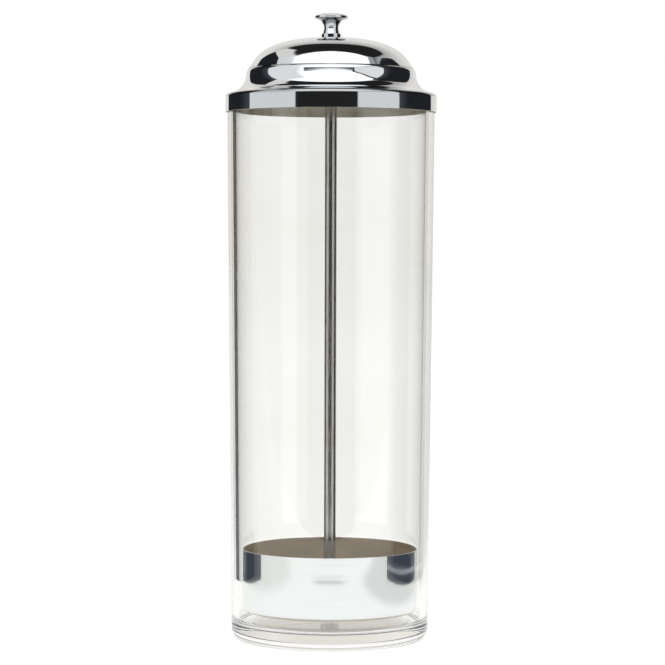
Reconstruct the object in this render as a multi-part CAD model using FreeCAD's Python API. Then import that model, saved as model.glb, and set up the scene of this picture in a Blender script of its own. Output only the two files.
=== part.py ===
import FreeCAD, Part
import math
import os

# A countertop straw dispenser: a clear jar, and an insert that lifts out of it.
# The insert is a domed lid with a knob, a rod down the axis and a shallow cup at the rod's foot.
# Lengths are in millimetres and angles in degrees.
# The origin is the centre of the jar's foot, on the surface that it stands on, and +Z is up.

# Jar: one clear moulding, drawn in towards its foot
jar_height = 234.5
jar_rim_radius = 44.75
jar_foot_radius = 42.6
jar_rim_wall = 3.55
jar_floor_wall = 3.25
jar_floor_thickness = 6.3
jar_floor_round = 3.5
jar_rim_round = 1.2
jar_foot_inset = 2.3
jar_foot_bevel_height = 1.65
jar_foot_round = 5.5
jar_foot_ring_width = 5.7
jar_recess_depth = 0.8
jar_recess_bevel = 1.6
jar_recess_round = 0.6

# Lid: pressed sheet, whose heights are above the jar's rim and whose widths run inwards from the skirt
lid_sheet = 0.5
lid_skirt_clearance = 0.3
lid_seat_gap = 0.3
lid_skirt_drop = 7.3
lid_skirt_round = 1.5
lid_flange_slope = 16.8
lid_flange_width = 8.25
lid_neck_round = 8.4
lid_neck_taper = 1.0
lid_shoulder_height = 10.55
lid_shoulder_round = 2.5
lid_ledge_width = 0.75
lid_dome_foot_height = 11.35
lid_dome_foot_round = 0.5
lid_knuckle_width = 4.85
lid_knuckle_height = 18.75
lid_knuckle_round = 17.4
lid_bow_width = 10.7
lid_bow_height = 23.35
lid_bow_round = 41.0
lid_crown_radius = 6.9
lid_crown_height = 24.7
lid_crown_round = 132.0

# Knob: turned from bar, whose heights are above the top of the dome
knob_height = 10.8
knob_radius = 7.25
knob_crown_radius = 3.6
knob_crown_round = 16.0
knob_rim_top_height = 9.5
knob_rim_bottom_height = 8.45
knob_rim_round = 0.55
knob_waist_radius = 3.2
knob_waist_top_height = 5.2
knob_waist_top_round = 6.0
knob_throat_radius = 4.5
knob_throat_height = 7.7
knob_throat_round = 1.6
knob_waist_bottom_height = 3.9
knob_waist_bottom_round = 5.0
knob_notch_radius = 3.7
knob_foot_radius = 4.35
knob_foot_height = 1.85
knob_foot_round = 0.4
knob_bore_depth = 7.2

# Rod: a plain shank between two turned-down threads
rod_radius = 2.6
rod_shoulder_bevel = 0.3
thread_radius = 2.0
thread_bevel = 0.4
thread_end = 0.3
thread_in_knob = 6.5

# Cup: pressed sheet with an open top
cup_sheet = 0.6
cup_clearance = 1.35
cup_height = 26.9
cup_corner_round = 2.0
cup_rim_round = 0.2

# Fasteners: the same nut and plain washer serve at both ends of the rod
nut_across_flats = 7.0
nut_height = 3.2
nut_bevel_angle = 30.0
washer_radius = 4.5
washer_thickness = 0.8
washer_edge_round = 0.12
spring_washer_radius = 3.8
spring_washer_thickness = 0.9
spring_washer_slit = 0.9
spring_washer_slit_slant = 20.0

# Fits
thread_clearance = 0.04
hole_clearance = 0.15
floor_gap = 0.5
contact_gap = 0.01

# Heights worked up from the jar's floor, through what hangs under the cup
rod_bottom = jar_floor_thickness + floor_gap
cup_nut_bottom = rod_bottom + thread_end
spring_washer_bottom = cup_nut_bottom + nut_height
lower_washer_bottom = spring_washer_bottom + spring_washer_thickness
cup_bottom = lower_washer_bottom + washer_thickness
upper_washer_bottom = cup_bottom + cup_sheet
lower_shoulder = upper_washer_bottom + washer_thickness

# Heights worked down from the top of the dome, through what is clamped under it
lid_top = jar_height + lid_crown_height
crown_sag = lid_crown_round - math.sqrt(lid_crown_round ** 2 - washer_radius ** 2)
lid_washer_bottom = lid_top - lid_sheet - crown_sag - contact_gap - washer_thickness
upper_shoulder = lid_washer_bottom - nut_height
rod_top = lid_top + thread_in_knob

bore_radius = thread_radius + thread_clearance
hole_radius = thread_radius + hole_clearance

# Radii worked in from the jar: the cup slides down its bore, and the lid's skirt goes round its rim
jar_rim_bore_radius = jar_rim_radius - jar_rim_wall
jar_floor_bore_radius = jar_foot_radius - jar_floor_wall
jar_foot_ring_radius = jar_foot_radius - jar_foot_inset
jar_recess_radius = jar_foot_ring_radius - jar_foot_ring_width
cup_inner_radius = jar_floor_bore_radius - cup_clearance - cup_sheet
lid_skirt_radius = jar_rim_radius + lid_skirt_clearance + lid_sheet
lid_neck_radius = lid_skirt_radius - lid_flange_width
lid_shoulder_radius = lid_neck_radius - lid_neck_taper
lid_dome_radius = lid_shoulder_radius - lid_ledge_width
lid_knuckle_radius = lid_dome_radius - lid_knuckle_width
lid_bow_radius = lid_knuckle_radius - lid_bow_width


def unit(start, end):
    """Unit direction from one corner to another, in the (radius, height) plane."""
    across = end[0] - start[0]
    up = end[1] - start[1]
    length = math.hypot(across, up)
    return across / length, up / length


def turn_between(before, after):
    """Angle that the outline turns by at a corner, positive to the left."""
    cross = before[0] * after[1] - before[1] * after[0]
    dot = before[0] * after[0] + before[1] * after[1]
    return math.atan2(cross, dot)


def tangent_length(corners, index):
    """How far the round at a corner runs along each of its two sides."""
    corner = corners[index]
    before = unit(corners[index - 1], corner)
    after = unit(corner, corners[(index + 1) % len(corners)])
    return corner[2] * abs(math.tan(turn_between(before, after) / 2.0))


def side_share(corners, index, lengths):
    """Share of its round that a corner keeps, so that neighbouring rounds don't run past each other."""
    share = 1.0
    for neighbour in (index - 1, (index + 1) % len(corners)):
        side = math.dist(corners[index][:2], corners[neighbour][:2])
        wanted = lengths[index] + lengths[neighbour]
        if wanted > side:
            share = min(share, side / wanted)
    return share


def at(point):
    """Place of a (radius, height) point in the plane that is turned about the axis."""
    return FreeCAD.Vector(point[0], 0.0, point[1])


def rounded_face(corners):
    """Flat face inside a closed outline of corners (radius, height, round)."""
    lengths = [tangent_length(corners, index) for index in range(len(corners))]
    arcs = []
    for index, corner in enumerate(corners):
        reach = lengths[index] * side_share(corners, index, lengths)
        back = unit(corner, corners[index - 1])
        ahead = unit(corner, corners[(index + 1) % len(corners)])
        start = (corner[0] + back[0] * reach, corner[1] + back[1] * reach)
        end = (corner[0] + ahead[0] * reach, corner[1] + ahead[1] * reach)
        arcs.append((start, arc_middle(corner, back, ahead, reach), end))
    edges = []
    for index, (start, middle, end) in enumerate(arcs):
        if math.dist(start, end) > 1e-6:
            edges.append(Part.Arc(at(start), at(middle), at(end)).toShape())
        following = arcs[(index + 1) % len(arcs)][0]
        if math.dist(end, following) > 1e-6:
            edges.append(Part.makeLine(at(end), at(following)))
    return Part.Face(Part.Wire(edges))


def arc_middle(corner, back, ahead, reach):
    """Middle of the arc that rounds a corner, on the line that halves the corner's angle."""
    half_angle = (math.pi - abs(turn_between((-back[0], -back[1]), ahead))) / 2.0
    across = back[0] + ahead[0]
    up = back[1] + ahead[1]
    length = math.hypot(across, up)
    if reach == 0.0 or length < 1e-9:
        return corner[:2]
    depth = reach / math.cos(half_angle) - reach * math.tan(half_angle)
    return corner[0] + across / length * depth, corner[1] + up / length * depth


def turned(corners):
    """Solid of revolution about the axis, from a closed outline."""
    return rounded_face(corners).revolve(FreeCAD.Vector(0, 0, 0), FreeCAD.Vector(0, 0, 1), 360)


def sheet_outline(skin, thickness):
    """Closed outline of pressed sheet: the given skin, and the same skin moved right by the thickness.

    Rounds are tighter by the thickness on the inside of a bend and wider by it on the outside."""
    directions = [unit(skin[index], skin[index + 1]) for index in range(len(skin) - 1)]
    moved = []
    for index, (radius, height, bend) in enumerate(skin):
        before = directions[max(index - 1, 0)]
        after = directions[min(index, len(directions) - 1)]
        spread = 1.0 + before[0] * after[0] + before[1] * after[1]
        right = (before[1] + after[1]) / spread, -(before[0] + after[0]) / spread
        if bend > 0.0:
            bend = max(bend + math.copysign(thickness, turn_between(before, after)), 0.0)
        moved.append((radius + right[0] * thickness, height + right[1] * thickness, bend))
    return skin + moved[::-1]


def cylinder(radius, bottom, top):
    """Upright cylinder on the axis."""
    return Part.makeCylinder(radius, top - bottom, FreeCAD.Vector(0, 0, bottom))


def jar():
    """Clear jar: a thick side, a solid floor and a shallow recess under the foot."""
    return turned([
        (0.0, jar_recess_depth, 0.0),
        (jar_recess_radius - jar_recess_bevel, jar_recess_depth, jar_recess_round),
        (jar_recess_radius, 0.0, jar_recess_round),
        (jar_foot_ring_radius, 0.0, 0.0),
        (jar_foot_radius, jar_foot_bevel_height, jar_foot_round),
        (jar_rim_radius, jar_height, jar_rim_round),
        (jar_rim_bore_radius, jar_height, jar_rim_round),
        (jar_floor_bore_radius, jar_floor_thickness, jar_floor_round),
        (0.0, jar_floor_thickness, 0.0),
    ])


def flange_height(radius):
    """Height of the flange's upper face, which seats over the outer edge of the jar's rim."""
    slope = math.radians(lid_flange_slope)
    seat_radius = jar_rim_radius - jar_rim_round
    seat_height = jar_height + lid_seat_gap + lid_sheet / math.cos(slope)
    return seat_height + (seat_radius - radius) * math.tan(slope)


def lid():
    """Pressed lid: crown, dome, shoulder, neck, sloping flange and a straight skirt round the jar's rim."""
    skin = [
        (0.0, lid_top, 0.0),
        (lid_crown_radius, lid_top, lid_crown_round),
        (lid_bow_radius, jar_height + lid_bow_height, lid_bow_round),
        (lid_knuckle_radius, jar_height + lid_knuckle_height, lid_knuckle_round),
        (lid_dome_radius, jar_height + lid_dome_foot_height, lid_dome_foot_round),
        (lid_shoulder_radius, jar_height + lid_shoulder_height, lid_shoulder_round),
        (lid_neck_radius, flange_height(lid_neck_radius), lid_neck_round),
        (lid_skirt_radius, flange_height(lid_skirt_radius), lid_skirt_round),
        (lid_skirt_radius, jar_height - lid_skirt_drop, 0.0),
    ]
    pressed = turned(sheet_outline(skin, lid_sheet))
    return pressed.cut(cylinder(hole_radius, upper_shoulder, rod_top))


def knob():
    """Turned knob: a domed cap, a waist and a round foot, bored from below for the rod's thread."""
    body = turned([
        (0.0, lid_top, 0.0),
        (knob_foot_radius, lid_top, knob_foot_round),
        (knob_foot_radius, lid_top + knob_foot_height, knob_foot_round),
        (knob_notch_radius, lid_top + knob_foot_height, 0.0),
        (knob_waist_radius, lid_top + knob_waist_bottom_height, knob_waist_bottom_round),
        (knob_waist_radius, lid_top + knob_waist_top_height, knob_waist_top_round),
        (knob_throat_radius, lid_top + knob_throat_height, knob_throat_round),
        (knob_radius, lid_top + knob_rim_bottom_height, knob_rim_round),
        (knob_radius, lid_top + knob_rim_top_height, knob_rim_round),
        (knob_crown_radius, lid_top + knob_height, knob_crown_round),
        (0.0, lid_top + knob_height, 0.0),
    ])
    return body.cut(cylinder(bore_radius, lid_top - contact_gap, lid_top + knob_bore_depth))


def lift_rod():
    """Rod down the axis: a shank, with a shoulder and a thinner threaded end at each end of it."""
    return turned([
        (0.0, rod_bottom, 0.0),
        (thread_radius - thread_bevel, rod_bottom, 0.0),
        (thread_radius, rod_bottom + thread_bevel, 0.0),
        (thread_radius, lower_shoulder, 0.0),
        (rod_radius - rod_shoulder_bevel, lower_shoulder, 0.0),
        (rod_radius, lower_shoulder + rod_shoulder_bevel, 0.0),
        (rod_radius, upper_shoulder - rod_shoulder_bevel, 0.0),
        (rod_radius - rod_shoulder_bevel, upper_shoulder, 0.0),
        (thread_radius, upper_shoulder, 0.0),
        (thread_radius, rod_top - thread_bevel, 0.0),
        (thread_radius - thread_bevel, rod_top, 0.0),
        (0.0, rod_top, 0.0),
    ])


def cup():
    """Shallow pressed cup, whose floor is pierced for the rod's thread."""
    cup_top = cup_bottom + cup_height
    skin = [
        (0.0, upper_washer_bottom, 0.0),
        (cup_inner_radius, upper_washer_bottom, cup_corner_round - cup_sheet),
        (cup_inner_radius, cup_top, 0.0),
    ]
    corners = []
    for radius, height, bend in sheet_outline(skin, cup_sheet):
        corners.append((radius, height, cup_rim_round if height == cup_top else bend))
    return turned(corners).cut(cylinder(hole_radius, cup_bottom, lower_shoulder))


def nut(bottom):
    """Hexagon nut with bevelled corners and a round bore."""
    corner_radius = nut_across_flats / math.sqrt(3.0)
    corners = []
    for step in range(7):
        angle = math.radians(60.0 * step)
        across = corner_radius * math.cos(angle)
        along = corner_radius * math.sin(angle)
        corners.append(FreeCAD.Vector(across, along, bottom))
    prism = Part.Face(Part.makePolygon(corners)).extrude(FreeCAD.Vector(0, 0, nut_height))
    flat_radius = nut_across_flats / 2.0
    bevel_height = (corner_radius - flat_radius) * math.tan(math.radians(nut_bevel_angle))
    bevels = turned([
        (0.0, bottom, 0.0),
        (flat_radius, bottom, 0.0),
        (corner_radius, bottom + bevel_height, 0.0),
        (corner_radius, bottom + nut_height - bevel_height, 0.0),
        (flat_radius, bottom + nut_height, 0.0),
        (0.0, bottom + nut_height, 0.0),
    ])
    return prism.common(bevels).cut(cylinder(bore_radius, bottom, bottom + nut_height))


def washer(bottom):
    """Plain washer with slightly rounded edges."""
    top = bottom + washer_thickness
    return turned([
        (hole_radius, bottom, 0.0),
        (washer_radius, bottom, washer_edge_round),
        (washer_radius, top, washer_edge_round),
        (hole_radius, top, 0.0),
    ])


def spring_washer(bottom):
    """Spring washer pressed flat, with its slanting slit."""
    top = bottom + spring_washer_thickness
    ring = cylinder(spring_washer_radius, bottom, top).cut(cylinder(hole_radius, bottom, top))
    slit = Part.makeBox(
        spring_washer_radius,
        spring_washer_slit,
        3.0 * spring_washer_thickness,
        FreeCAD.Vector(0.0, -spring_washer_slit / 2.0, bottom - spring_washer_thickness),
    )
    middle = FreeCAD.Vector(0.0, 0.0, (bottom + top) / 2.0)
    slit.rotate(middle, FreeCAD.Vector(1, 0, 0), spring_washer_slit_slant)
    return ring.cut(slit)


pieces = {
    "jar": jar(),
    "lid": lid(),
    "knob": knob(),
    "lift_rod": lift_rod(),
    "lid_nut": nut(upper_shoulder),
    "lid_washer": washer(lid_washer_bottom),
    "cup": cup(),
    "cup_upper_washer": washer(upper_washer_bottom),
    "cup_lower_washer": washer(lower_washer_bottom),
    "cup_spring_washer": spring_washer(spring_washer_bottom),
    "cup_nut": nut(cup_nut_bottom),
}

os.makedirs("parts", exist_ok=True)
for name, shape in pieces.items():
    shape.exportStep("parts/" + name + ".step")
    print(name, "solids", len(shape.Solids), "valid", shape.isValid(), "volume", round(shape.Volume, 1))
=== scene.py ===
import math

import bmesh
import bpy
from mathutils import Matrix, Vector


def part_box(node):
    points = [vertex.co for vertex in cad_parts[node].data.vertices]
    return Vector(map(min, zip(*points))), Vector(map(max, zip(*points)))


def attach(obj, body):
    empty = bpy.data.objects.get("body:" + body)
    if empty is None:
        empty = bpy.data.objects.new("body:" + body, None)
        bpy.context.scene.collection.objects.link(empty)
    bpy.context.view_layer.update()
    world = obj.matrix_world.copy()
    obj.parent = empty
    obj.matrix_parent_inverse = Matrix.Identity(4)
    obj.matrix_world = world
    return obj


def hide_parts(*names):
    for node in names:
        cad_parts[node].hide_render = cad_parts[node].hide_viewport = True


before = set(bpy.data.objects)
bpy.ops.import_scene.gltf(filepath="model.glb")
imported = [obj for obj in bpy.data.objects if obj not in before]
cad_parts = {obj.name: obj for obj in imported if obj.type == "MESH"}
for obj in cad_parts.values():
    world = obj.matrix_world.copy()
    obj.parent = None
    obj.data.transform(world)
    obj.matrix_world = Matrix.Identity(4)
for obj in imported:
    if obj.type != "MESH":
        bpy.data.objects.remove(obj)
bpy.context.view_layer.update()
print("frame loaded:", len(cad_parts), "nodes")

mm = 0.001
jarLow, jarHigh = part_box("jar")
lidLow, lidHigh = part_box("lid")
knobLow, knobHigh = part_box("knob")
rodLow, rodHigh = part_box("lift_rod")
cupLow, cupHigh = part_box("cup")
jarTop = jarHigh.z / mm  # the rim that the lid's heights are counted from
lidTop = lidHigh.z / mm  # top of the dome, where the knob stands
nearAxis = 0.0004  # metres, which keeps a division by the radius safe
white = (1.0, 1.0, 1.0, 1.0)


def addNode(tree, kind, inputs=None, **settings):
    node = tree.nodes.new(kind)
    for name, value in settings.items():
        setattr(node, name, value)
    for name, value in (inputs or {}).items():
        socket = node.inputs[name]
        if isinstance(value, bpy.types.NodeSocket):
            tree.links.new(value, socket)
        else:
            socket.default_value = value
    return node


def calc(tree, operation, *values):
    return addNode(tree, "ShaderNodeMath", dict(enumerate(values)), operation=operation).outputs[0]


def vectorCalc(tree, operation, *values):
    return addNode(tree, "ShaderNodeVectorMath", dict(enumerate(values)), operation=operation).outputs[0]


def flatLength(tree, across, along):
    return calc(tree, "SQRT", calc(tree, "ADD", calc(tree, "MULTIPLY", across, across),
                                   calc(tree, "MULTIPLY", along, along)))


def distance(tree, value, middle):
    return calc(tree, "ABSOLUTE", calc(tree, "SUBTRACT", value, middle))


def ease(tree, value, start, end, low=0.0, high=1.0):  # smooth step, from low at start to high at end
    sockets = {"Value": value, "From Min": start, "From Max": end, "To Min": low, "To Max": high}
    return addNode(tree, "ShaderNodeMapRange", sockets, interpolation_type="SMOOTHSTEP").outputs["Result"]


def blendColour(tree, share, first, second):
    node = addNode(tree, "ShaderNodeMix", data_type="RGBA")
    for index, value in ((0, share), (6, first), (7, second)):
        if isinstance(value, bpy.types.NodeSocket):
            tree.links.new(value, node.inputs[index])
        else:
            node.inputs[index].default_value = value
    return node.outputs[2]


def mirroredOnly(tree):  # 1 in a reflection, 0 seen directly, through the plastic or as light
    path = addNode(tree, "ShaderNodeLightPath").outputs
    return calc(tree, "MULTIPLY", calc(tree, "GREATER_THAN", path["Glossy Depth"], 0.5),
                calc(tree, "LESS_THAN", path["Diffuse Depth"], 0.5))


def noise(tree, vector, scale, detail=3.0, roughness=0.5):
    sockets = {"Vector": vector, "Scale": scale, "Detail": detail, "Roughness": roughness}
    return addNode(tree, "ShaderNodeTexNoise", sockets).outputs["Fac"]


def addScaled(tree, vector, scale):
    return addNode(tree, "ShaderNodeMapping", {"Vector": vector, "Scale": scale}).outputs[0]


cameraValues = {
    "distance": 1.07018,  # from the jar's axis, in metres
    "eyeHeight": 0.17211,
    "sideways": 0.00091,
    "pitchDown": 2.1387,
    "lean": 0.17,
    "lens": 133.8157,
    "sensorWidth": 36.0,
    "clip": (0.05, 30.0),
}


def makeCamera(v):
    data = bpy.data.cameras.new("camera")
    data.lens = v["lens"]
    data.sensor_width = v["sensorWidth"]
    data.clip_start, data.clip_end = v["clip"]
    camera = bpy.data.objects.new("camera", data)
    pitch = Matrix.Rotation(math.radians(90.0 - v["pitchDown"]), 4, "X")
    lean = Matrix.Rotation(math.radians(v["lean"]), 4, "Z")
    place = Matrix.Translation((v["sideways"], -v["distance"], v["eyeHeight"]))
    camera.matrix_world = place @ (pitch @ lean)
    bpy.context.scene.collection.objects.link(camera)
    bpy.context.scene.camera = camera


makeCamera(cameraValues)
bpy.context.scene.view_settings.view_transform = "Standard"
print("camera placed")


def newMaterial(name):
    material = bpy.data.materials.new(name)
    material.use_nodes = True
    tree = material.node_tree
    tree.nodes.clear()
    shader = addNode(tree, "ShaderNodeBsdfPrincipled")
    addNode(tree, "ShaderNodeOutputMaterial", {"Surface": shader.outputs[0]})
    return material, tree, shader


def turnedCoordinates(tree, around, up):  # seamless round the axis: (cos, sin) x around, height x up
    place = addNode(tree, "ShaderNodeTexCoord").outputs["Object"]
    parts = addNode(tree, "ShaderNodeSeparateXYZ", {0: place}).outputs
    radius = flatLength(tree, parts[0], parts[1])
    safe = calc(tree, "MAXIMUM", radius, nearAxis)
    across = calc(tree, "MULTIPLY", calc(tree, "DIVIDE", parts[0], safe), around)
    along = calc(tree, "MULTIPLY", calc(tree, "DIVIDE", parts[1], safe), around)
    rise = calc(tree, "MULTIPLY", calc(tree, "ADD", parts[2], radius), up)
    vector = addNode(tree, "ShaderNodeCombineXYZ", {0: across, 1: along, 2: rise}).outputs[0]
    return place, vector, radius, parts[2]


chromeValues = {
    "colour": (0.785, 0.81, 0.84, 1.0),
    "dullColour": (0.70, 0.705, 0.71, 1.0),
    "roughness": 0.035,
    "wipedRoughness": 0.0525,
    "smearRoughness": 0.085,
    "scratchDepth": 0.0000012,
    "wrap": (0.9, 900.0),
    "smears": (38.0, 4.0, 0.62),  # scale, detail and roughness, as for each noise below
    "smearRange": (0.5, 0.78),
    "smearShare": 0.35,
    "wiping": (1.0, 5.0, 0.6),
    "wipingRange": (0.3, 0.75),
    "specks": (900.0, 2.0),
    "speckRange": (0.69, 0.74),
    # painted shade: the dark colour laid under the knob's rim, in the dome's crease and along the skirt's
    # edge
    "paintedShade": (0.16, 0.15, 0.14, 1.0),
    "shadeSpecks": (0.25, 0.5, 0.6, 0.9),
    "knobShade": ((5.4, 6.6), (8.8, 8.3)),  # painted shade under the knob's rim: height above the dome where it starts and ends, in mm
    # painted shade in the crease at the dome's foot
    "creaseShade": 0.66,
    "creaseHeight": 11.2,  # above the jar's rim, in mm
    "creaseReach": (0.5, 0.12),
    "creaseRadius": 0.034,
    "edgeShade": 0.52,  # painted shade: a dark line along the skirt's upper edge
    "edgeHeight": -0.1,  # above the jar's rim, in mm
    "edgeReach": (0.9, 0.5),
    "edgeRadii": (0.0441, 0.0447),
    "insideColour": (0.96, 0.92, 0.82, 1.0),  # the skirt's inner skin, which the plating barely reached
    "insideStain": (0.46, 0.38, 0.28, 1.0),
    "insideRoughness": 0.3,
    "insideMetal": 0.15,
    "insideTilt": 0.45,
    "insideSoft": 0.02,
    "stains": (46.0, 3.0, 0.55),
    "stainStretch": (1.0, 1.0, 0.3),
    "stainRange": (0.40, 0.58),
    "stainFade": (0.2312, 0.2288, 0.35, 1.0),  # weaker towards the top
}


def insideOfShell(tree, v):  # 1 on faces that look in and down, such as a pressed lid's inner skin
    texture = addNode(tree, "ShaderNodeTexCoord").outputs
    outward = vectorCalc(tree, "MULTIPLY", texture["Object"], (1.0, 1.0, 0.0))
    outward = vectorCalc(tree, "NORMALIZE", outward)
    outward = vectorCalc(tree, "ADD", outward, (0.0, 0.0, v["insideTilt"]))
    sockets = {0: texture["Normal"], 1: outward}
    facing = addNode(tree, "ShaderNodeVectorMath", sockets, operation="DOT_PRODUCT").outputs["Value"]
    height = addNode(tree, "ShaderNodeSeparateXYZ", {0: texture["Object"]}).outputs[2]
    return calc(tree, "MULTIPLY", ease(tree, facing, v["insideSoft"], -v["insideSoft"]),
                calc(tree, "LESS_THAN", height, lidTop * mm))


def chromePaintedShade(tree, v, radius, height, specks):  # painted shade: under the knob's rim, in the crease at the dome's foot and along the skirt's upper edge
    level = calc(tree, "DIVIDE", height, mm)
    aboveDome = calc(tree, "SUBTRACT", level, lidTop)
    # painted shade under the knob's rim, mottled by the specks
    starts, ends = v["knobShade"]
    paintedShade = calc(tree, "MULTIPLY", ease(tree, aboveDome, *starts), ease(tree, aboveDome, *ends))
    paintedShade = calc(tree, "MULTIPLY", paintedShade, ease(tree, specks, *v["shadeSpecks"]))
    # painted shade in the crease at the dome's foot
    offCrease = distance(tree, level, jarTop + v["creaseHeight"])
    crease = calc(tree, "MULTIPLY", ease(tree, offCrease, *v["creaseReach"]),
                  calc(tree, "GREATER_THAN", radius, v["creaseRadius"]))
    paintedShade = calc(tree, "ADD", paintedShade, calc(tree, "MULTIPLY", crease, v["creaseShade"]))
    # painted shade: a dark line along the skirt's upper edge
    offEdge = distance(tree, level, jarTop + v["edgeHeight"])
    edge = calc(tree, "MULTIPLY", ease(tree, offEdge, *v["edgeReach"]), ease(tree, radius, *v["edgeRadii"]))
    return calc(tree, "MAXIMUM", paintedShade, calc(tree, "MULTIPLY", edge, v["edgeShade"]))


def makeChrome(v):
    material, tree, shader = newMaterial("chrome")
    place, around, radius, height = turnedCoordinates(tree, *v["wrap"])
    smears = noise(tree, place, *v["smears"])
    wiping = noise(tree, around, *v["wiping"])
    specks = noise(tree, place, *v["specks"])
    dull = ease(tree, smears, *v["smearRange"])
    inside = insideOfShell(tree, v)
    grit = ease(tree, specks, *v["speckRange"])
    worn = calc(tree, "MAXIMUM", calc(tree, "MULTIPLY", dull, v["smearShare"]), grit)
    tint = blendColour(tree, worn, v["colour"], v["dullColour"])
    stains = noise(tree, addScaled(tree, place, v["stainStretch"]), *v["stains"])
    stains = ease(tree, stains, *v["stainRange"])
    stains = calc(tree, "MULTIPLY", stains, ease(tree, height, *v["stainFade"]))
    tint = blendColour(tree, inside, tint, blendColour(tree, stains, v["insideColour"], v["insideStain"]))
    # painted shade darkens the chrome where the mask says
    tint = blendColour(tree, chromePaintedShade(tree, v, radius, height, specks), tint, v["paintedShade"])
    tree.links.new(tint, shader.inputs["Base Color"])
    rough = calc(tree, "ADD", ease(tree, wiping, *v["wipingRange"], v["roughness"], v["wipedRoughness"]),
                 calc(tree, "MULTIPLY", dull, v["smearRoughness"] - v["roughness"]))
    rough = calc(tree, "ADD", rough, calc(tree, "MULTIPLY", inside, v["insideRoughness"]))
    tree.links.new(rough, shader.inputs["Roughness"])
    bump = addNode(tree, "ShaderNodeBump", {"Height": wiping, "Strength": 1.0, "Distance": v["scratchDepth"]})
    tree.links.new(bump.outputs[0], shader.inputs["Normal"])
    tree.links.new(ease(tree, inside, 0.0, 1.0, 1.0, v["insideMetal"]), shader.inputs["Metallic"])
    return material


rodFinishValues = {
    "colour": (0.64, 0.635, 0.62, 1.0),
    "wornColour": (0.54, 0.52, 0.49, 1.0),
    "roughness": 0.20,
    "wornRoughness": 0.30,
    "drawnDepth": 0.0000015,
    "wrap": (9.0, 14.0),
    "lines": (1.0, 5.0, 0.6),
    "lineRange": (0.1, 0.6),
    "wear": (160.0, 3.0),
    "wearStretch": (1.0, 1.0, 0.25),
    "wearRange": (0.45, 0.7),
}


def makeDrawnSteel(v):  # bright drawn bar, worn along its length where the straws rub it
    material, tree, shader = newMaterial("drawnSteel")
    place, around, _, _ = turnedCoordinates(tree, *v["wrap"])
    lines = noise(tree, around, *v["lines"])
    worn = noise(tree, addScaled(tree, place, v["wearStretch"]), *v["wear"])
    worn = ease(tree, worn, *v["wearRange"])
    tree.links.new(blendColour(tree, worn, v["colour"], v["wornColour"]), shader.inputs["Base Color"])
    rubbed = calc(tree, "MULTIPLY", lines, worn)
    rough = ease(tree, rubbed, *v["lineRange"], v["roughness"], v["wornRoughness"])
    tree.links.new(rough, shader.inputs["Roughness"])
    bump = addNode(tree, "ShaderNodeBump", {"Height": lines, "Strength": 1.0, "Distance": v["drawnDepth"]})
    tree.links.new(bump.outputs[0], shader.inputs["Normal"])
    shader.inputs["Metallic"].default_value = 1.0
    return material


plasticValues = {
    "colour": (0.982, 0.984, 0.968, 1.0),
    "yellowed": (0.970, 0.966, 0.944, 1.0),
    "ior": 1.49,
    "ripple": 0.000006,
    "wrap": (0.55, 26.0),
    "flow": (1.0, 3.0, 0.5),
    "flowRange": (0.35, 0.7),
    "haze": (60.0, 4.0, 0.65),
    "hazeRange": (0.35, 0.7),
    "rubbedHeights": (0.0035, 0.0),
    "rubbedRoughness": 0.05,
    "scuffs": (240.0, 2.0),
    "scuffStretch": (1.0, 1.0, 9.0),
    "scuffRange": (0.66, 0.74),
    "scuffRoughness": 0.012,
}


def makeClearPlastic(v):
    material, tree, shader = newMaterial("clearPlastic")
    place, around, _, height = turnedCoordinates(tree, *v["wrap"])
    flow = noise(tree, around, *v["flow"])
    haze = noise(tree, place, *v["haze"])
    tint = blendColour(tree, ease(tree, flow, *v["flowRange"]), v["colour"], v["yellowed"])
    tree.links.new(tint, shader.inputs["Base Color"])
    rubbed = calc(tree, "MULTIPLY", ease(tree, height, *v["rubbedHeights"]),
                  ease(tree, haze, *v["hazeRange"]))
    scuffs = noise(tree, addScaled(tree, place, v["scuffStretch"]), *v["scuffs"])
    scuffs = ease(tree, scuffs, *v["scuffRange"])
    rough = calc(tree, "ADD", calc(tree, "MULTIPLY", rubbed, v["rubbedRoughness"]),
                 calc(tree, "MULTIPLY", scuffs, v["scuffRoughness"]))
    tree.links.new(rough, shader.inputs["Roughness"])
    bump = addNode(tree, "ShaderNodeBump", {"Height": flow, "Strength": 1.0, "Distance": v["ripple"]})
    tree.links.new(bump.outputs[0], shader.inputs["Normal"])
    shader.inputs["Transmission Weight"].default_value = 1.0
    shader.inputs["IOR"].default_value = v["ior"]
    return material


steelValues = {
    "colour": (0.90, 0.925, 0.94, 1.0),
    "streakColour": (0.84, 0.86, 0.875, 1.0),
    "roughness": 0.05,
    "streakRoughness": 0.13,
    "ringDepth": 0.0000015,
    # painted light and shade: the cup's inner wall, the same steel as outside, takes a darker, warmer tone
    "insideColour": (0.80, 0.71, 0.58, 1.0),
    # with its own streak colour and less metal, standing in for the light and shade inside the cup
    "insideStreak": (0.46, 0.41, 0.33, 1.0),
    "insideMetal": 0.6,
    "insideRadii": (0.03775, 0.03755),
    "wrap": (1.4, 1500.0),
    "rings": (1.0, 6.0, 0.65),
    "ringRange": (0.45, 0.75),
    "patches": (30.0, 3.0),
    "patchStretch": (1.0, 1.0, 6.0),
    "patchRange": (0.35, 0.7),
}


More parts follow.
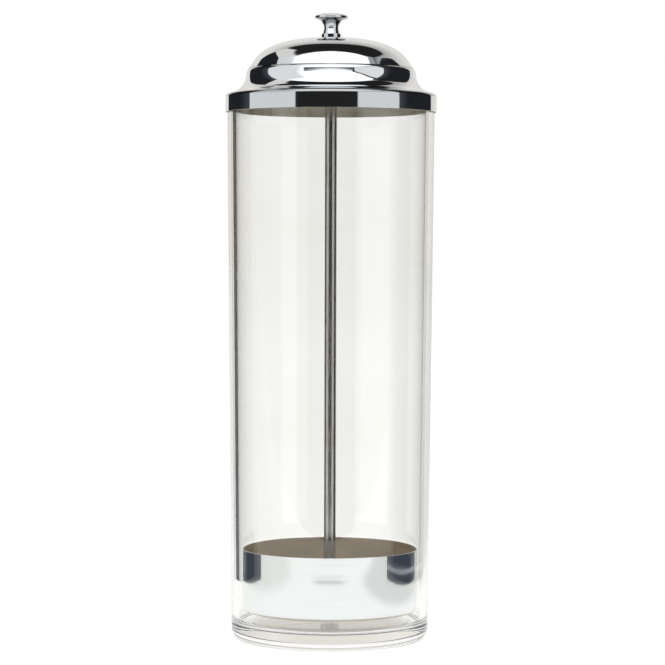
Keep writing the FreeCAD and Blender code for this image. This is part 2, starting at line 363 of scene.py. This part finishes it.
def makeBrightSteel(v):
    material, tree, shader = newMaterial("brightSteel")
    place, around, radius, _ = turnedCoordinates(tree, *v["wrap"])
    rings = noise(tree, around, *v["rings"])
    patches = noise(tree, addScaled(tree, place, v["patchStretch"]), *v["patches"])
    streaks = calc(tree, "MULTIPLY", ease(tree, rings, *v["ringRange"]),
                   ease(tree, patches, *v["patchRange"]))
    # the inner wall's painted tone, standing in for the light and shade inside the cup
    inside = ease(tree, radius, *v["insideRadii"])
    outer = blendColour(tree, streaks, v["colour"], v["streakColour"])
    inner = blendColour(tree, streaks, v["insideColour"], v["insideStreak"])
    tree.links.new(blendColour(tree, inside, outer, inner), shader.inputs["Base Color"])
    rough = ease(tree, streaks, 0.0, 1.0, v["roughness"], v["streakRoughness"])
    tree.links.new(rough, shader.inputs["Roughness"])
    bump = addNode(tree, "ShaderNodeBump", {"Height": rings, "Strength": 1.0, "Distance": v["ringDepth"]})
    tree.links.new(bump.outputs[0], shader.inputs["Normal"])
    tree.links.new(ease(tree, inside, 0.0, 1.0, 1.0, v["insideMetal"]), shader.inputs["Metallic"])
    return material


zincValues = {
    "colour": (0.78, 0.78, 0.76, 1.0),
    "stained": (0.64, 0.62, 0.57, 1.0),
    "roughness": 0.28,
    "stainedRoughness": 0.5,
    "grain": (2600.0, 2.0),
    "grainStrength": 0.6,
    "grainDepth": 0.00001,
    "stain": (420.0, 4.0, 0.6),
    "stainRange": (0.46, 0.7),
}


def makeZincPlate(v):
    material, tree, shader = newMaterial("zincPlate")
    place = addNode(tree, "ShaderNodeTexCoord").outputs["Object"]
    grain = noise(tree, place, *v["grain"])
    stain = ease(tree, noise(tree, place, *v["stain"]), *v["stainRange"])
    tree.links.new(blendColour(tree, stain, v["colour"], v["stained"]), shader.inputs["Base Color"])
    rough = ease(tree, stain, 0.0, 1.0, v["roughness"], v["stainedRoughness"])
    tree.links.new(rough, shader.inputs["Roughness"])
    sockets = {"Height": grain, "Strength": v["grainStrength"], "Distance": v["grainDepth"]}
    bump = addNode(tree, "ShaderNodeBump", sockets)
    tree.links.new(bump.outputs[0], shader.inputs["Normal"])
    shader.inputs["Metallic"].default_value = 1.0
    return material


chrome = makeChrome(chromeValues)
drawnSteel = makeDrawnSteel(rodFinishValues)
clearPlastic = makeClearPlastic(plasticValues)
brightSteel = makeBrightSteel(steelValues)
zincPlate = makeZincPlate(zincValues)
print("finishes made")


turningValues = {  # name, kind and value of each of the tree's inputs
    "segments": ("Segments", "NodeSocketInt", 192),
    "roundSteps": ("Round Steps", "NodeSocketInt", 10),
    "weldDistance": ("Weld Distance", "NodeSocketFloat", 0.000002),
    "sharpAngle": ("Sharp Angle", "NodeSocketFloat", 0.6),
}


def makeTurningTree(v):  # turns a half outline with rounded corners about the axis
    tree = bpy.data.node_groups.new("turning", "GeometryNodeTree")
    face = tree.interface
    face.new_socket(name="Outline", in_out="INPUT", socket_type="NodeSocketGeometry")
    for name, kind, value in v.values():
        face.new_socket(name=name, in_out="INPUT", socket_type=kind).default_value = value
    face.new_socket(name="Finish", in_out="INPUT", socket_type="NodeSocketMaterial")
    face.new_socket(name="Turned Piece", in_out="OUTPUT", socket_type="NodeSocketGeometry")
    given = addNode(tree, "NodeGroupInput").outputs
    attribute = addNode(tree, "GeometryNodeInputNamedAttribute", {"Name": "round"}, data_type="FLOAT")
    outline = addNode(tree, "GeometryNodeMeshToCurve", {"Mesh": given["Outline"]}).outputs[0]
    outline = addNode(tree, "GeometryNodeFilletCurve", {
        "Curve": outline,
        "Count": given["Round Steps"],
        "Radius": attribute.outputs["Attribute"],
        "Limit Radius": True,
    }, mode="POLY").outputs[0]
    size = addNode(tree, "GeometryNodeAttributeDomainSize", {0: outline}, component="CURVE")
    count = size.outputs["Point Count"]
    columns = calc(tree, "ADD", given["Segments"], 1.0)
    rows = calc(tree, "SUBTRACT", count, 1.0)
    grid = addNode(tree, "GeometryNodeMeshGrid", {
        "Size X": given["Segments"],
        "Size Y": rows,
        "Vertices X": columns,
        "Vertices Y": count,
    }).outputs["Mesh"]
    place = addNode(tree, "GeometryNodeInputPosition").outputs[0]
    spot = addNode(tree, "ShaderNodeSeparateXYZ", {0: place}).outputs
    column = calc(tree, "ROUND", calc(tree, "ADD", spot[0], calc(tree, "MULTIPLY", given["Segments"], 0.5)))
    row = calc(tree, "ROUND", calc(tree, "ADD", spot[1], calc(tree, "MULTIPLY", rows, 0.5)))
    outlinePlace = addNode(tree, "GeometryNodeInputPosition").outputs[0]
    sockets = {"Geometry": outline, "Value": outlinePlace, "Index": row}
    sampler = addNode(tree, "GeometryNodeSampleIndex", sockets, data_type="FLOAT_VECTOR", domain="POINT")
    point = addNode(tree, "ShaderNodeSeparateXYZ", {0: sampler.outputs[0]}).outputs
    angle = calc(tree, "MULTIPLY", calc(tree, "DIVIDE", column, given["Segments"]), 2.0 * math.pi)
    target = addNode(tree, "ShaderNodeCombineXYZ", {
        0: calc(tree, "MULTIPLY", point[0], calc(tree, "COSINE", angle)),
        1: calc(tree, "MULTIPLY", point[0], calc(tree, "SINE", angle)),
        2: point[2],
    }).outputs[0]
    skin = addNode(tree, "GeometryNodeSetPosition", {"Geometry": grid, "Position": target}).outputs[0]
    sockets = {"Geometry": skin, "Distance": given["Weld Distance"]}
    skin = addNode(tree, "GeometryNodeMergeByDistance", sockets).outputs[0]
    skin = addNode(tree, "GeometryNodeSetShadeSmooth", {"Geometry": skin, "Shade Smooth": True}).outputs[0]
    edge = addNode(tree, "GeometryNodeInputMeshEdgeAngle").outputs["Unsigned Angle"]
    sharp = calc(tree, "GREATER_THAN", edge, given["Sharp Angle"])
    sockets = {"Geometry": skin, "Selection": sharp, "Shade Smooth": False}
    skin = addNode(tree, "GeometryNodeSetShadeSmooth", sockets, domain="EDGE").outputs[0]
    skin = addNode(tree, "GeometryNodeRealizeInstances", {"Geometry": skin}).outputs[0]
    sockets = {"Geometry": skin, "Material": given["Finish"]}
    skin = addNode(tree, "GeometryNodeSetMaterial", sockets).outputs[0]
    addNode(tree, "NodeGroupOutput", {"Turned Piece": skin})
    return tree


turning = makeTurningTree(turningValues)


def setInputs(modifier, values):
    for item in modifier.node_group.interface.items_tree:
        if item.item_type == "SOCKET" and item.in_out == "INPUT" and item.name in values:
            modifier[item.identifier] = values[item.name]


def applyModifiers(piece):
    scene = bpy.context.evaluated_depsgraph_get()
    baked = bpy.data.meshes.new_from_object(piece.evaluated_get(scene))
    piece.modifiers.clear()
    piece.data = baked


def turnedPiece(name, corners, finish, v):  # corners are (radius, height, round) in mm
    outline = bpy.data.meshes.new(name + "Outline")
    outline.from_pydata([(radius * mm, 0.0, height * mm) for radius, height, bend in corners],
                        [(index, index + 1) for index in range(len(corners) - 1)], [])
    bends = outline.attributes.new("round", "FLOAT", "POINT")
    for index, corner in enumerate(corners):
        bends.data[index].value = corner[2] * mm
    piece = bpy.data.objects.new(name, outline)
    bpy.context.scene.collection.objects.link(piece)
    modifier = piece.modifiers.new("turning", "NODES")
    modifier.node_group = turning
    setInputs(modifier, {"Segments": v["segments"], "Round Steps": v["roundSteps"], "Finish": finish})
    applyModifiers(piece)
    shell = bmesh.new()
    shell.from_mesh(piece.data)
    bmesh.ops.recalc_face_normals(shell, faces=shell.faces)
    shell.to_mesh(piece.data)
    shell.free()
    weighted = piece.modifiers.new("weighted", "WEIGHTED_NORMAL")
    weighted.keep_sharp = True  # straight walls stay true beside small rounds
    applyModifiers(piece)
    piece.data.name = name
    return piece


def pressedOutline(skin, sheet):  # the skin's corners, and back along them at the sheet's distance
    ways = []
    for start, end in zip(skin, skin[1:]):
        length = math.dist(start[:2], end[:2])
        ways.append(((end[0] - start[0]) / length, (end[1] - start[1]) / length))
    moved = []
    for index, (radius, height, bend) in enumerate(skin):
        before = ways[max(index - 1, 0)]
        after = ways[min(index, len(ways) - 1)]
        spread = 1.0 + before[0] * after[0] + before[1] * after[1]
        side = math.copysign(sheet, before[0] * after[1] - before[1] * after[0])
        moved.append((
            radius + (before[1] + after[1]) / spread * sheet,
            height - (before[0] + after[0]) / spread * sheet,
            max(bend + side, 0.0) if bend > 0.0 else 0.0,
        ))
    return skin + moved[::-1]


jarValues = {
    "rimRadius": 44.75,
    "footRadius": 42.6,
    "rimWall": 3.55,
    "floorWall": 3.25,
    "floorThickness": 6.3,
    "floorRound": 3.5,
    "rimRound": 1.2,
    "footInset": 2.3,
    "bevelHeight": 1.65,
    "footRound": 5.5,
    "ringWidth": 5.7,
    "recessDepth": 0.8,
    "recessBevel": 1.6,
    "recessRound": 0.6,
    "segments": 256,
    "roundSteps": 12,
}


def makeJar(v):
    ring = v["footRadius"] - v["footInset"]
    recess = ring - v["ringWidth"]
    jar = turnedPiece("jar_body", [
        (0.0, v["recessDepth"], 0.0),
        (recess - v["recessBevel"], v["recessDepth"], v["recessRound"]),
        (recess, 0.0, v["recessRound"]),
        (ring, 0.0, 0.0),
        (v["footRadius"], v["bevelHeight"], v["footRound"]),
        (v["rimRadius"], jarTop, v["rimRound"]),
        (v["rimRadius"] - v["rimWall"], jarTop, v["rimRound"]),
        (v["footRadius"] - v["floorWall"], v["floorThickness"], v["floorRound"]),
        (0.0, v["floorThickness"], 0.0),
    ], clearPlastic, v)
    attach(jar, "jar")
    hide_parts("jar")


makeJar(jarValues)


lidValues = {
    "sheet": 0.5,
    "skirtRadius": 45.53,
    "skirtDrop": 7.3,
    "skirtRound": 1.5,
    "seatGap": 0.3,
    "seatRadius": 43.55,
    "slope": 16.8,
    "neckRadius": 37.3,
    "neckRound": 8.4,
    "shoulder": (36.3, 10.55, 2.5),  # radius, height above the jar's rim, round
    "domeFoot": (35.55, 11.35, 0.5),
    "knuckle": (30.7, 18.75, 17.4),
    "bow": (20.0, 23.35, 41.0),
    "crown": (6.9, 24.7, 132.0),
    "holeRadius": 2.15,
    "segments": 224,
    "roundSteps": 16,
}


def makeLid(v):
    slope = math.radians(v["slope"])

    def flange(radius):
        seat = jarTop + v["seatGap"] + v["sheet"] / math.cos(slope)
        return seat + (v["seatRadius"] - radius) * math.tan(slope)

    def above(corner):
        return corner[0], jarTop + corner[1], corner[2]

    skin = [
        (v["holeRadius"], lidTop, 0.0),
        above(v["crown"]),
        above(v["bow"]),
        above(v["knuckle"]),
        above(v["domeFoot"]),
        above(v["shoulder"]),
        (v["neckRadius"], flange(v["neckRadius"]), v["neckRound"]),
        (v["skirtRadius"], flange(v["skirtRadius"]), v["skirtRound"]),
        (v["skirtRadius"], jarTop - v["skirtDrop"], 0.0),
    ]
    corners = pressedOutline(skin, v["sheet"])
    lid = turnedPiece("lid_shell", corners + corners[:1], chrome, v)
    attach(lid, "insert")
    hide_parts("lid")


makeLid(lidValues)


knobValues = {
    "radius": 7.25,
    "height": 10.8,
    "crownRadius": 3.6,
    "crownRound": 16.0,
    "rimTop": 9.5,
    "rimBottom": 8.45,
    "rimRound": 0.55,
    "waistRadius": 3.2,
    "waistBottom": (3.9, 5.0),  # height above the dome and round
    "waistTop": (5.2, 6.0),
    "throat": (4.5, 7.7, 1.6),  # radius, height, round
    "notchRadius": 3.7,
    "footRadius": 4.35,
    "footHeight": 1.85,
    "footRound": 0.25,
    "boreRadius": 2.04,
    "boreDepth": 7.2,
    "segments": 160,
    "roundSteps": 12,
}


def makeKnob(v):
    knob = turnedPiece("knob_turned", [
        (0.0, lidTop + v["boreDepth"], 0.0),
        (v["boreRadius"], lidTop + v["boreDepth"], 0.0),
        (v["boreRadius"], lidTop, 0.0),
        (v["footRadius"], lidTop, v["footRound"]),
        (v["footRadius"], lidTop + v["footHeight"], v["footRound"]),
        (v["notchRadius"], lidTop + v["footHeight"], 0.0),
        (v["waistRadius"], lidTop + v["waistBottom"][0], v["waistBottom"][1]),
        (v["waistRadius"], lidTop + v["waistTop"][0], v["waistTop"][1]),
        (v["throat"][0], lidTop + v["throat"][1], v["throat"][2]),
        (v["radius"], lidTop + v["rimBottom"], v["rimRound"]),
        (v["radius"], lidTop + v["rimTop"], v["rimRound"]),
        (v["crownRadius"], lidTop + v["height"], v["crownRound"]),
        (0.0, lidTop + v["height"], 0.0),
    ], chrome, v)
    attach(knob, "insert")
    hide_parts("knob")


makeKnob(knobValues)


rodValues = {
    "radius": 2.6,
    "threadRadius": 2.0,
    "lowerShoulder": 13.4,
    "upperShoulder": 254.613,
    "shoulderBevel": 0.3,
    "endBevel": 0.4,
    "segments": 96,
    "roundSteps": 4,
}


def makeRod(v):
    bottom, top = rodLow.z / mm, rodHigh.z / mm
    rod = turnedPiece("rod_turned", [
        (0.0, bottom, 0.0),
        (v["threadRadius"] - v["endBevel"], bottom, 0.0),
        (v["threadRadius"], bottom + v["endBevel"], 0.0),
        (v["threadRadius"], v["lowerShoulder"], 0.0),
        (v["radius"] - v["shoulderBevel"], v["lowerShoulder"], 0.0),
        (v["radius"], v["lowerShoulder"] + v["shoulderBevel"], 0.0),
        (v["radius"], v["upperShoulder"] - v["shoulderBevel"], 0.0),
        (v["radius"] - v["shoulderBevel"], v["upperShoulder"], 0.0),
        (v["threadRadius"], v["upperShoulder"], 0.0),
        (v["threadRadius"], top - v["endBevel"], 0.0),
        (v["threadRadius"] - v["endBevel"], top, 0.0),
        (0.0, top, 0.0),
    ], drawnSteel, v)
    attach(rod, "insert")
    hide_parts("lift_rod")


makeRod(rodValues)


cupValues = {
    "sheet": 0.6,
    "radius": 38.0,
    "cornerRound": 2.0,
    "rimRound": 0.2,
    "holeRadius": 2.15,
    "segments": 224,
    "roundSteps": 8,
}


def makeCup(v):
    bottom, top = cupLow.z / mm, cupHigh.z / mm
    inner = v["radius"] - v["sheet"]
    cup = turnedPiece("cup_pressed", [
        (v["holeRadius"], bottom, 0.0),
        (v["radius"], bottom, v["cornerRound"]),
        (v["radius"], top, v["rimRound"]),
        (inner, top, v["rimRound"]),
        (inner, bottom + v["sheet"], v["cornerRound"] - v["sheet"]),
        (v["holeRadius"], bottom + v["sheet"], 0.0),
        (v["holeRadius"], bottom, 0.0),
    ], brightSteel, v)
    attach(cup, "insert")
    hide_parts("cup")


makeCup(cupValues)
print("turned pieces made")


fasteners = ("lid_nut", "lid_washer", "cup_upper_washer", "cup_lower_washer", "cup_spring_washer", "cup_nut")
for name in fasteners:  # the solids' own meshes
    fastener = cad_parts[name]
    fastener.data.materials.clear()
    fastener.data.materials.append(zincPlate)


studioValues = {  # azimuths and heights are in degrees, seen from the jar, with the camera at azimuth 0
    "backdrop": 1.0,
    "rearLight": (25.0, 55.0, 0.86, 0.42),  # from low down to high up
    "rightDim": 0.12,
    "rightDimSpread": (15.0, 50.0),
    "rearGlow": 0.78,  # what the backdrop gives the chrome
    "rearGlowSpread": (30.0, 8.0),
    "rearGlowHeights": (28.0, 10.0),
    "overheadLeft": ((-0.17, 51.5), (0.75, 24.75)),  # lower edge: rise per degree from behind, and height
    "overheadCap": 60.0,
    "overheadRight": ((-0.12, 52.0), (0.19, 36.5), (0.8, -14.4)),
    "overheadSoft": 1.6,
    "overheadStart": (-0.05, -0.02),  # in the direction's share from front to back
    "leftLight": 0.80,
    "leftPatch": ((-148.0, -80.0), (38.0, 75.0), 3.0),  # sides, heights and softness
    "softbox": 1.4,
    "softboxPatch": ((-88.0, 86.0), (17.5, 120.0), 1.5),
    "corner": ((0.76, 28.9), (0.31, 61.0), 24.4),  # the softbox's two slants, and the second one's drop
    "sideLight": (3.0, 16.0, 0.75, 0.87),
    "sidePatches": (((-97.0, -46.0), (-40.0, 56.0), 6.0), ((-97.0, -38.8), (-40.0, 16.0), 1.0)),
    "cornerPatch": ((28.9, 92.0), (-40.0, 20.0), 1.2),
    "frontPatch": ((-38.0, 29.5), (10.0, 18.8), 0.5),
    "line": 0.02,  # the dark rim of the softbox
    "cornerLine": ((29.5, 87.0), (15.8, 20.6), 0.5),
    "frontLine": ((-38.0, 29.5), (15.8, 18.9), 0.4),
    "dark": 0.018,
    "roomPatch": ((-38.8, 28.9), (-9.0, 10.0), 0.8),  # the dark room past the table
    "warmth": (1.0, 0.965, 0.92, 1.0),
    "warmSpread": (85.0, 60.0),
}


def makeStudio(v):
    world = bpy.data.worlds.new("studio")
    bpy.context.scene.world = world
    world.use_nodes = True
    world.cycles.sampling_method = "NONE"
    tree = world.node_tree
    tree.nodes.clear()
    direction = addNode(tree, "ShaderNodeTexCoord").outputs["Generated"]
    way = addNode(tree, "ShaderNodeSeparateXYZ", {0: direction}).outputs
    azimuth = calc(tree, "DEGREES", calc(tree, "ARCTAN2", way[0], calc(tree, "MULTIPLY", way[1], -1.0)))
    height = calc(tree, "DEGREES", calc(tree, "ARCSINE", way[2]))
    behind = calc(tree, "SUBTRACT", 180.0, calc(tree, "ABSOLUTE", azimuth))
    toTheRight = calc(tree, "GREATER_THAN", azimuth, 0.0)

    def slanted(slope, middle):  # height above a line that rises by slope for each degree past the middle
        rise = calc(tree, "MULTIPLY", calc(tree, "SUBTRACT", azimuth, middle), slope)
        return calc(tree, "SUBTRACT", height, rise)

    def fromBehind(slope, start):
        return calc(tree, "MULTIPLY_ADD", behind, slope, start)

    def patch(sides, heights, soft, rise=None, both=False):  # rise stands in for the height at the upper edge
        mask = ease(tree, azimuth, sides[0] - soft, sides[0] + soft)
        mask = calc(tree, "MULTIPLY", mask, ease(tree, azimuth, sides[1] + soft, sides[1] - soft))
        low = ease(tree, rise if both else height, heights[0] - soft, heights[0] + soft)
        top = ease(tree, rise or height, heights[1] + soft, heights[1] - soft)
        return calc(tree, "MULTIPLY", calc(tree, "MULTIPLY", mask, low), top)

    level = ease(tree, height, *v["rearLight"])
    sideLight = ease(tree, height, *v["sideLight"])

    def paint(mask, value):
        nonlocal level
        node = addNode(tree, "ShaderNodeMix", {0: mask}, data_type="FLOAT")
        for index, given in ((2, level), (3, value)):
            if isinstance(given, bpy.types.NodeSocket):
                tree.links.new(given, node.inputs[index])
            else:
                node.inputs[index].default_value = given
        level = node.outputs[0]

    dim = calc(tree, "MULTIPLY", ease(tree, behind, *v["rightDimSpread"]), toTheRight)
    level = calc(tree, "MULTIPLY", level, ease(tree, dim, 0.0, 1.0, 1.0, 1.0 - v["rightDim"]))
    rear = calc(tree, "MULTIPLY", ease(tree, behind, *v["rearGlowSpread"]),
                ease(tree, height, *v["rearGlowHeights"]))
    paint(rear, v["rearGlow"])

    # the dark room over and behind the lights, whose lower edge differs left and right
    falling, rising = [fromBehind(*line) for line in v["overheadLeft"]]
    leftEdge = calc(tree, "MAXIMUM", falling, calc(tree, "MINIMUM", rising, v["overheadCap"]))
    first, second, third = [fromBehind(*line) for line in v["overheadRight"]]
    rightEdge = calc(tree, "MAXIMUM", first, calc(tree, "MAXIMUM", second, third))
    edge = addNode(tree, "ShaderNodeMix", {0: toTheRight, 2: leftEdge, 3: rightEdge}).outputs[0]
    overEdge = ease(tree, calc(tree, "SUBTRACT", height, edge), -v["overheadSoft"], v["overheadSoft"])
    overhead = calc(tree, "MULTIPLY", overEdge, ease(tree, way[1], *v["overheadStart"]))
    paint(patch(*v["leftPatch"]), v["leftLight"])
    paint(overhead, v["dark"])
    paint(patch(*v["softboxPatch"]), v["softbox"])

    # side lights, the line along the softbox and its slanting corner, and the dark room past the table
    steep, shallow, drop = v["corner"]
    corner = calc(tree, "MAXIMUM", slanted(*steep), calc(tree, "SUBTRACT", slanted(*shallow), drop))
    for place in v["sidePatches"]:
        paint(patch(*place), sideLight)
    paint(patch(*v["cornerPatch"], corner), sideLight)
    paint(patch(*v["cornerLine"], corner, True), v["line"])
    paint(patch(*v["frontPatch"]), sideLight)
    paint(patch(*v["frontLine"]), v["line"])
    paint(patch(*v["roomPatch"]), v["dark"])

    seen = mirroredOnly(tree)
    paint(calc(tree, "SUBTRACT", 1.0, seen), v["backdrop"])
    warm = calc(tree, "MULTIPLY", seen, ease(tree, behind, *v["warmSpread"]))
    tint = blendColour(tree, warm, white, v["warmth"])
    light = addNode(tree, "ShaderNodeBackground", {"Color": tint, "Strength": level})
    addNode(tree, "ShaderNodeOutputWorld", {"Surface": light.outputs[0]})


makeStudio(studioValues)


floorValues = {
    "radius": 14.0,
    "segments": 96,
    "colour": (0.90, 0.90, 0.895, 1.0),
    "mottleColour": (0.8, 0.8, 0.8, 1.0),
    "mottle": (14.0, 3.0),
    "mottleShare": 0.02,
    "roughness": 0.9,
    "glow": 1.06,
    "mirroredGlow": 1.05,
    "glowShare": 0.96,  # share of the floor's white that shadows don't reach
    "glowUnderJar": 0.31,
    "shadowRadii": (0.0369, 0.0429),
    "farFade": (0.9, 8.0, 1.0, 0.955),  # meets the backdrop's white at the horizon
    "shades": ((0.120, 0.175, 0.25), (-0.150, -0.230, 0.16)),  # where each starts, is full, and how deep
    "shadeFront": (-0.24, -0.16),
    "tableFront": -0.378,
    "frontSoft": 0.004,
    "seamRadius": 0.247,  # a fine dark line in the table, seen only mirrored
    "seamReach": (0.008, 0.002),
    "seamSides": (0.12, 0.03),
    "seamGlow": 0.25,
}


def makeFloor(v):
    shell = bmesh.new()
    bmesh.ops.create_circle(shell, cap_ends=True, radius=v["radius"], segments=v["segments"])
    data = bpy.data.meshes.new("floor")
    shell.to_mesh(data)
    shell.free()
    floor = bpy.data.objects.new("floor", data)
    bpy.context.scene.collection.objects.link(floor)
    material, tree, shader = newMaterial("paleFloor")
    place = addNode(tree, "ShaderNodeTexCoord").outputs["Object"]
    mottle = calc(tree, "MULTIPLY", noise(tree, place, *v["mottle"]), v["mottleShare"])
    tree.links.new(blendColour(tree, mottle, v["colour"], v["mottleColour"]), shader.inputs["Base Color"])
    shader.inputs["Roughness"].default_value = v["roughness"]
    shader.inputs["Specular IOR Level"].default_value = 0.0
    seen = mirroredOnly(tree)
    parts = addNode(tree, "ShaderNodeSeparateXYZ", {0: place}).outputs
    out = flatLength(tree, parts[0], parts[1])
    strength = ease(tree, seen, 0.0, 1.0, v["glow"], v["mirroredGlow"])

    def dimmed(strength, mask, share):  # down to the share, and only where it is mirrored
        mirrored = calc(tree, "MULTIPLY", mask, seen)
        return calc(tree, "MULTIPLY", strength, ease(tree, mirrored, 0.0, 1.0, 1.0, share))

    for start, full, deep in v["shades"]:  # the cards' soft shade on the table, which the cup mirrors
        shade = calc(tree, "MULTIPLY", ease(tree, parts[0], start, full),
                     ease(tree, parts[1], *v["shadeFront"]))
        strength = dimmed(strength, shade, 1.0 - deep)
    strength = calc(tree, "MULTIPLY", strength, ease(tree, out, *v["farFade"]))
    offSeam = distance(tree, out, v["seamRadius"])
    seam = calc(tree, "MULTIPLY", ease(tree, offSeam, *v["seamReach"]),
                calc(tree, "LESS_THAN", parts[1], 0.0))
    seam = calc(tree, "MULTIPLY", seam, ease(tree, calc(tree, "ABSOLUTE", parts[0]), *v["seamSides"]))
    strength = dimmed(strength, seam, v["seamGlow"])
    glow = addNode(tree, "ShaderNodeEmission", {"Color": white, "Strength": strength}).outputs[0]
    share = ease(tree, out, *v["shadowRadii"], v["glowUnderJar"], v["glowShare"])
    paper = addNode(tree, "ShaderNodeMixShader", {0: share, 1: shader.outputs[0], 2: glow}).outputs[0]
    front = ease(tree, parts[1], v["tableFront"] + v["frontSoft"], v["tableFront"])
    clear = addNode(tree, "ShaderNodeBsdfTransparent").outputs[0]
    mix = addNode(tree, "ShaderNodeMixShader", {0: calc(tree, "MULTIPLY", seen, front), 1: paper, 2: clear})
    tree.links.new(mix.outputs[0], tree.nodes["Material Output"].inputs["Surface"])
    data.materials.append(material)


makeFloor(floorValues)


cardValues = {
    "left": ((-0.183, -0.007, 0.404), (-0.112, 0.106, 0.382)),  # two ends: x, y and the card's height there
    "right": ((0.181, -0.065, 0.478), (0.135, 0.094, 0.335)),
    "bottom": 0.0072,
    "dark": (0.017, 0.018, 0.021, 1.0),
    "midDark": (0.042, 0.040, 0.035, 1.0),  # lit by what passes through the jar
    "lowDark": (0.050, 0.058, 0.078, 1.0),  # lit from the table
    "frontDark": (0.058, 0.061, 0.072, 1.0),  # and from the front
    "slit": (0.32, 0.34, 0.38, 1.0),
    "slitHeights": (0.0128, 0.0142),  # a light slit low in the right card
    "slitSoft": 0.001,
    "middle": (0.029, 0.036),  # half the difference and the mean of the two front ends' places
    "frontReach": (0.045, 0.0),
    "midHeights": (0.236, 0.222),
    "lowHeights": (0.07, 0.035),
}


def makeCards(v):  # dark cards beside the jar, which show in reflections alone
    material = bpy.data.materials.new("darkCard")
    material.use_nodes = True
    tree = material.node_tree
    tree.nodes.clear()
    clear = addNode(tree, "ShaderNodeBsdfTransparent").outputs[0]
    place = addNode(tree, "ShaderNodeTexCoord").outputs["Object"]
    parts = addNode(tree, "ShaderNodeSeparateXYZ", {0: place}).outputs
    shift = calc(tree, "MULTIPLY_ADD", calc(tree, "SIGN", parts[0]), *v["middle"])
    fromFront = calc(tree, "ADD", parts[1], shift)
    tone = blendColour(tree, ease(tree, fromFront, *v["frontReach"]), v["dark"], v["frontDark"])
    tone = blendColour(tree, ease(tree, parts[2], *v["midHeights"]), tone, v["midDark"])
    tone = blendColour(tree, ease(tree, parts[2], *v["lowHeights"]), tone, v["lowDark"])
    low, high = v["slitHeights"]
    slit = calc(tree, "MULTIPLY", ease(tree, parts[2], low - v["slitSoft"], low),
                ease(tree, parts[2], high + v["slitSoft"], high))
    slit = calc(tree, "MULTIPLY", slit, calc(tree, "GREATER_THAN", parts[0], 0.0))
    tone = blendColour(tree, slit, tone, v["slit"])
    dark = addNode(tree, "ShaderNodeEmission", {"Color": tone, "Strength": 1.0}).outputs[0]
    mix = addNode(tree, "ShaderNodeMixShader", {0: mirroredOnly(tree), 1: clear, 2: dark})
    addNode(tree, "ShaderNodeOutputMaterial", {"Surface": mix.outputs[0]})
    for side in ("left", "right"):
        (x0, y0, top0), (x1, y1, top1) = v[side]
        corners = [(x0, y0, v["bottom"]), (x1, y1, v["bottom"]), (x1, y1, top1), (x0, y0, top0)]
        data = bpy.data.meshes.new("card." + side)
        data.from_pydata(corners, [], [(0, 1, 2, 3)])
        card = bpy.data.objects.new("card." + side, data)
        bpy.context.scene.collection.objects.link(card)
        data.materials.append(material)


makeCards(cardValues)
print("studio made")
